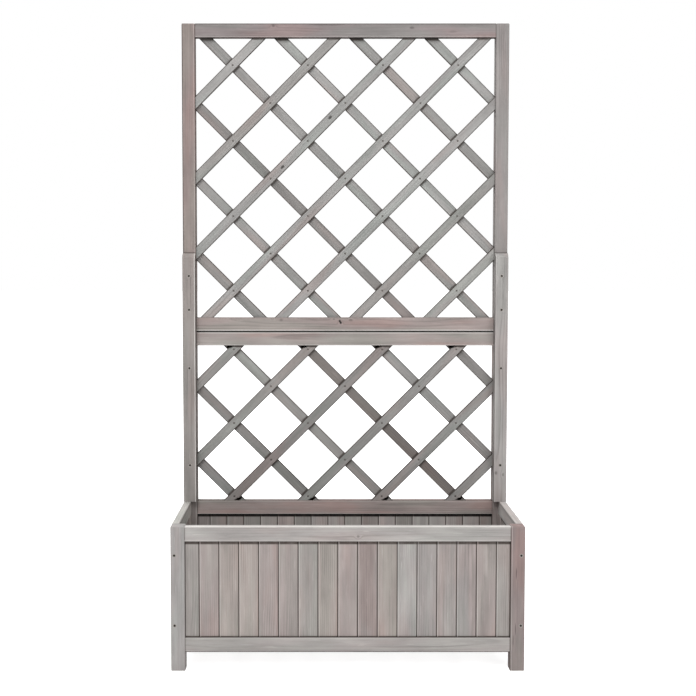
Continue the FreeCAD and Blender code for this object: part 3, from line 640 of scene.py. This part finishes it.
def board_wall(name, span, width, face, inward, shadow, stains):
    """Boards side by side along a wall: the section carried straight up, one board after another.

    Face is a point on the show face at the middle of the wall, inward the direction into the
    board, and the wall runs to the right, looking inwards. Shadow is how dark the boards are just
    under the top rail.
    """
    full = int(span / width - 1)
    edge = (span - full * width) / 2
    starts = [0.0] + [edge + index * width for index in range(full + 1)]
    widths = [edge] + [width] * full + [edge]
    run = np.array([inward[1], -inward[0], 0.0])
    inward = np.array([*inward, 0.0])
    # Painted shade from the bottom rail to the first of these pairs, and painted shadow from the
    # second to the top rail.
    at_foot, at_top = (0.0734, 0.0744), (0.2703, 0.2716)
    between = np.linspace(0.085, 0.262, 9)
    stations = np.array([BOARD_FOOT, 0.0715, *at_foot, *between, *at_top, 0.2780, BOARD_TOP])
    rail_shade = np.interp(stations, [*at_foot, *at_top], [-0.9, 0, 0, shadow])
    wall = Surface()
    for index, (start, board_width, stain) in enumerate(zip(starts, widths, stains)):
        outline, wear_and_painted_light = board_outline(board_width, index == 0, index == full + 1)
        across = start - span / 2 + outline[:, 0]
        flat = np.array(face) + across[:, None] * run + outline[:, 1:] * inward
        rings = np.repeat(flat[None], len(stations), 0)
        rings[:, :, 2] = stations[:, None]
        local = np.zeros_like(rings)
        local[:, :, 0] = stations[:, None]
        local[:, :, 1] = outline[:, 0]
        local[:, :, 2] = outline[:, 1]
        worn_and_shaded = np.clip(wear_and_painted_light + rail_shade[:, None], -2, 1)
        wall.add_skin(rings, local + random_pith(), STAINS[stain], worn_and_shaded)
    wall.build(name + "_dressed", board_material, "board_wood", name)


# ---- Lattice ----

def slat_section(ease=0.0008):
    """The loop round a slat: across it, into it, how worn and painted with light and shade each
    point is, and which face it is on.

    A row of points along the front, a quarter circle at each arris, and the same row back. The
    row is close together at its middle, where the nails are, and near the arrises, where a dark
    line is painted, partly wash and partly shade, with a lighter band beside it, partly rubbed and
    partly a painted highlight. The arrises and the sides are painted dark, partly wash and partly
    the shade of the sides.
    """
    half, deep = SLAT_WIDTH / 2, SLAT_THICKNESS
    row = np.array([0.0, 0.0010, 0.0020, 0.0035, 0.0060, 0.0078, half - 0.0022, half - 0.0015])
    line = np.array([0.0, 0.0, 0.0, 0.0, 0.0, 0.0, 0.30, -1.0])
    row, line = np.concatenate([-row[:0:-1], row]), np.concatenate([line[:0:-1], line])
    turn = np.linspace(0, np.pi / 2, 3)
    out, back = half - ease + ease * np.sin(turn), half - ease + ease * np.cos(turn)
    near, far = ease - ease * np.cos(turn), ease * np.sin(turn)
    across = np.concatenate([row, out, back, row[::-1], -out, -back])
    depth = np.concatenate([
        row * 0, near, deep - ease + far, row * 0 + deep, deep - near, ease - far,
    ])
    edge = np.full(6, -1.25)
    wear_and_painted_light = np.concatenate([line, edge, line, edge])
    front = np.concatenate([row * 0 + 1, np.zeros(len(across) - len(row))])
    return across, depth, wear_and_painted_light, front


def bell(distance, width):
    """1 at no distance, falling away to nothing within a few widths."""
    return np.exp(-((distance / width) ** 2))


def lattice_slat(name, slope, layer, index, opening, stain, knots_and_marks):
    """One slat along the line z - middle = slope (x - index bays), and the places of its nails.

    The section is carried along the line. Each of its points starts and stops where its own line
    meets the floor of a groove, so the ends are cut to the frame. Between them are stations set
    evenly and close together round each nail, which has pulled the face in by a bell-shaped dimple,
    or on a falling slat beside each rising one. Knots are places along and across the slat.
    """
    middle = (opening[0] + opening[1]) / 2
    direction = np.array([1.0, 0.0, slope]) / math.sqrt(2)
    side = np.array([-slope, 0.0, 1.0]) / math.sqrt(2)
    face = LATTICE_FACE + layer * SLAT_THICKNESS
    centre = np.array([index * BAY / 2, face, middle - slope * index * BAY / 2])
    across, depth, edge_wash_light_and_shade, front = slat_section()

    columns = np.arange(-3, 4)
    rows = slope * (columns - index)
    most = int((opening[1] - opening[0]) / BAY / 2)
    nails = (columns[np.abs(rows) <= most] * BAY - centre[0]) * math.sqrt(2)

    low, high = opening[0] - SEAT, opening[1] + SEAT
    reach = HALF_OPENING + SEAT
    line = centre + across[:, None] * side
    by_x = np.stack([-reach - line[:, 0], reach - line[:, 0]]) / direction[0]
    by_z = np.sort(np.stack([low - line[:, 2], high - line[:, 2]]) / direction[2], axis=0)
    enters = np.maximum(by_x[0], by_z[0])
    leaves = np.minimum(by_x[1], by_z[1])
    if layer == 0:
        near = np.array([-0.006, -0.0035, -0.002, -0.001, 0, 0.001, 0.002, 0.0035, 0.006])
    else:
        near = np.array([-0.0155, -0.0125, -0.009, 0, 0.009, 0.0125, 0.0155])
    even = np.linspace(enters.max() + 0.019, leaves.min() - 0.019, 14)
    even = even[[np.all(np.abs(spot - nails) > 0.003 + near[-1]) for spot in even]]
    knot_spots = [spot + step for spot, _ in knots_and_marks for step in (-0.004, -0.002, 0, 0.002, 0.004)]
    stations = np.sort(np.concatenate([even, (nails[:, None] + near).ravel(), knot_spots]))
    inner = np.broadcast_to(stations[:, None], (len(stations), len(across)))
    # Near its ends a slat has stations that follow the cut.
    cut = np.array([0.0, 0.0078, 0.0095, 0.0120, 0.0165])[:, None]
    along = np.concatenate([enters + cut, inner, leaves - cut[::-1]])

    apart = np.sqrt((along[..., None] - nails) ** 2 + (across[None, :, None]) ** 2)
    pulled = front if layer == 0 else front * 0
    # A dimple is dark in its middle and lighter in a ring round it.
    dimple_depth, dimple_radius, dark_radius, ring_radius = 0.0006, 0.0022, 0.0020, 0.0044
    sunk = depth + dimple_depth * pulled * bell(apart, dimple_radius).sum(-1)
    worn_and_shaded = edge_wash_light_and_shade - 1.5 * pulled * bell(apart, dark_radius).sum(-1)
    worn_and_shaded = worn_and_shaded + 0.3 * pulled * bell(apart - ring_radius, 0.0012).sum(-1)
    if layer == 1:
        # A shadow is painted on a falling slat beside each rising slat that crosses it.
        closest = np.abs(along[..., None] - nails).min(-1)
        worn_and_shaded = np.maximum(worn_and_shaded + front * np.interp(closest, [0.0125, 0.0155], [-0.75, 0]), -1.25)
    into = np.array([0.0, 1.0, 0.0])
    rings = centre + along[..., None] * direction + across[:, None] * side + sunk[..., None] * into
    # A slat gets a painted shadow just under the rail above it, and a little painted shade beside a
    # post.
    under = opening[1] - rings[..., 2]
    shadow_under_rail = np.interp(under, [0.0, 0.0022, 0.0042 + 0.003 * layer], [1.6, 1.6, 0])
    shade_beside_post = np.interp(HALF_OPENING - np.abs(rings[..., 0]), [0.0, 0.003], [0.6, 0])
    worn_and_shaded = np.clip(worn_and_shaded - shadow_under_rail - shade_beside_post, -2, 1)
    everywhere = np.broadcast_to(across, along.shape)
    local = np.stack([along, everywhere, sunk], axis=-1) + random_pith()
    knot = np.full(rings.shape, NO_KNOT)
    knot_length, knot_width = 0.006, 0.0035
    for spot, off in knots_and_marks:
        around = np.stack([
            np.abs(along - spot) / knot_length, np.abs(everywhere - off) / knot_width, sunk * 0,
        ], axis=-1)
        nearer = (around.sum(-1) < knot.sum(-1))[..., None]
        knot = np.where(nearer, around, knot)
    slat = Surface()
    slat.add_skin(rings, local, STAINS[stain], worn_and_shaded, knot)
    slat.build(name + "_dressed", lattice_material, "lattice_wood", name)
    return [centre + spot * direction for spot in nails] if layer == 0 else []


def position_name(index):
    """Where a slat meets the middle of its frame, counted outwards from the centre."""
    if index == 0:
        return "centre"
    return f"{'left' if index < 0 else 'right'}_{(abs(index) + 1) // 2}"


def lattice(frame_name, opening, first_index, rising_stains, falling_stains, knots_and_marks):
    """Rising slats in front and falling slats behind, and where the nails go."""
    spots = []
    for kind, slope, layer, stains in (
        ("rising", 1, 0, rising_stains), ("falling", -1, 1, falling_stains),
    ):
        for step, stain in enumerate(stains.split()):
            index = first_index + 2 * step
            name = f"{frame_name}_slat_{kind}_{position_name(index)}"
            spots += lattice_slat(name, slope, layer, index, opening, stain, knots_and_marks.get(name, ()))
    return spots


def lattice_nails(spots):
    """Flat-headed nails sunk in their dimples: a profile of radius against depth, turned."""
    nails = Surface()
    around = np.linspace(0, 2 * np.pi, 9)[:-1]
    radius = np.array([0.0003, 0.0009, 0.0011, 0.0010, 0.0005, 0.0005, 0.0001])
    depth = np.array([0.00035, 0.00035, 0.0005, 0.0008, 0.0010, 0.0095, 0.0110])
    for spot in spots:
        rings = np.stack([
            spot[0] + radius[:, None] * np.cos(around),
            spot[1] + np.broadcast_to(depth[:, None], (len(depth), len(around))),
            spot[2] + radius[:, None] * np.sin(around),
        ], axis=-1)
        nails.add_skin(rings, rings, BARE_METAL, -0.6)
    nails.build("lattice_nails_dressed", steel_material, "steel", "lattice_nails")


# ---- Floor slats and screws ----

def floor_slats():
    """Slats under the soil: an eased rectangle carried from front to rear."""
    boards = Surface()
    half, thickness, foot = 0.031, 0.010, 0.062
    corners = [(-half, 0.0), (half, 0.0), (half, thickness), (-half, thickness)]
    outline, rubbed = eased_outline(corners, 0.0012)
    stations = np.linspace(-0.131, 0.119, 9)
    for x in np.linspace(-0.310, 0.310, 9):
        rings = np.empty((len(stations), len(outline), 3))
        rings[..., 0] = x + outline[:, 0]
        rings[..., 1] = stations[:, None]
        rings[..., 2] = foot + outline[:, 1]
        local = rings[..., [1, 0, 2]] + random_pith()
        stain = STAINS[chance.choice(("grey", "dusky", "beige"))]
        boards.add_skin(rings, local, stain, rubbed * 0.6)
    boards.build("floor_slats_dressed", floor_material, "floor_wood", "floor_slats")


def screw_surface(surface, place, facing, length):
    """A countersunk cross-recessed screw: a profile of radius against depth, turned about its axis.

    The head's face is sunk where the point lies inside a cross of two bars, deepest in the middle.
    """
    around = np.linspace(0, 2 * np.pi, 33)[:-1]
    radius = np.array([
        0.0001, 0.0005, 0.0009, 0.0014, 0.0019, 0.0024, 0.0029, 0.0034, 0.0038, 0.00395,
        0.0036, 0.0020, 0.0020, 0.0003,
    ])
    depth = np.array([
        0, 0, 0, 0, 0, 0, 0, 0.00002, 0.0001, 0.0003, 0.0008, 0.0022, length - 0.005, length,
    ])
    x = radius[:, None] * np.cos(around)
    y = radius[:, None] * np.sin(around)
    reach = np.hypot(x, y)
    slim = np.minimum(np.abs(x), np.abs(y))
    half_bar, arm, sinking, head_radius = 0.00055, 0.0025, 0.0012, 0.004
    cross = 1 / (1 + np.exp((slim - half_bar) / 0.00008)) / (1 + np.exp((reach - arm) / 0.00015))
    head = (np.arange(len(radius)) < 9)[:, None]
    drop = depth[:, None] + head * cross * sinking * (1 - reach / head_radius)
    rings = np.stack([place[0] + x, place[1] - facing * drop, place[2] + facing * -y], axis=-1)
    wear_and_painted_light = np.where(head, np.interp(reach, [0.0022, 0.0027], [-1.0, 0.0]), -0.3)
    surface.add_skin(rings, rings, BARE_METAL, wear_and_painted_light)


def screws():
    """The screws of the legs, from front and rear, and those of the splice planks."""
    legs, planks = Surface(), Surface()
    for x in (-0.367, 0.367):
        for z in (0.0975, 0.248):
            for facing in (-1, 1):
                screw_surface(legs, (x, facing * HALF_DEPTH, z), facing, LEG_SCREW)
    for x in (-0.360, 0.360):
        for z in (0.396, 0.622, 0.757, 0.835):
            screw_surface(planks, (x, PLANK_FACE, z), -1, PLANK_SCREW)
    legs.build("leg_screws_dressed", steel_material, "steel", "leg_screws")
    planks.build("plank_screws_dressed", steel_material, "steel", "plank_screws")


board_material = stained_pieces_wood("washed_board_wood")
lattice_material = stained_pieces_wood(
    "washed_lattice_wood", knotted=True, sawn=SAWN, drift=LATTICE_DRIFT,
)
floor_material = stained_pieces_wood("washed_floor_wood")
steel_material = fastener_steel("dull_screw_steel")

photograph_camera()
stage_and_light()
dress_timbers()

# Each wall: its width and that of a board, the middle of its show face, the way into the boards,
# how dark the painted shadow on them is under the top rail, and their stains from left to right,
# looking that way.
BOARD_WALLS = {
    "front_boards": (
        2 * HALF_OPENING, 0.042, (0, -0.1445, 0), (0, 1), -0.85,
        "mossy rosy beige beige rosy rosy mossy beige rosy "
        "dusky beige pale slate grey slate rosy mossy",
    ),
    # The two outermost rear boards take darker stains, lead and driftwood, partly for painted shade
    # from the posts beside them.
    "rear_boards": (
        2 * HALF_OPENING, 0.0395, (0, 0.1255, 0), (0, 1), -2.0,
        "lead driftwood driftwood driftwood mossy grey driftwood linen linen "
        "mossy driftwood linen driftwood linen linen grey linen driftwood",
    ),
    "side_boards_left": (
        SIDE_OPENING, 0.042, (-0.3705, 0, 0), (1, 0), -1.0, "grey rosy slate beige mossy",
    ),
    "side_boards_right": (
        SIDE_OPENING, 0.042, (0.3705, 0, 0), (-1, 0), -1.0, "rosy grey beige slate rosy",
    ),
}
for wall, (*layout, wall_stains) in BOARD_WALLS.items():
    board_wall(wall, *layout, wall_stains.split())

floor_slats()
screws()

# The falling slats, behind the rising ones, take darker stains: partly their own tone, partly
# painted shade.
nail_spots = lattice(
    "lower", LOWER_OPENING, -5,
    "greige greige lead ashen ashen ashen", "ashen lead greige umber ashen lead", {},
)
nail_spots += lattice(
    "upper", UPPER_OPENING, -6,
    "silver greige silver silver silver greige pearl", "ashen ashen lead ashen silver ashen silver",
    {"upper_slat_rising_left_1": [(0.0741, 0.0016), (-0.0833, -0.0010)]},
)
lattice_nails(nail_spots)
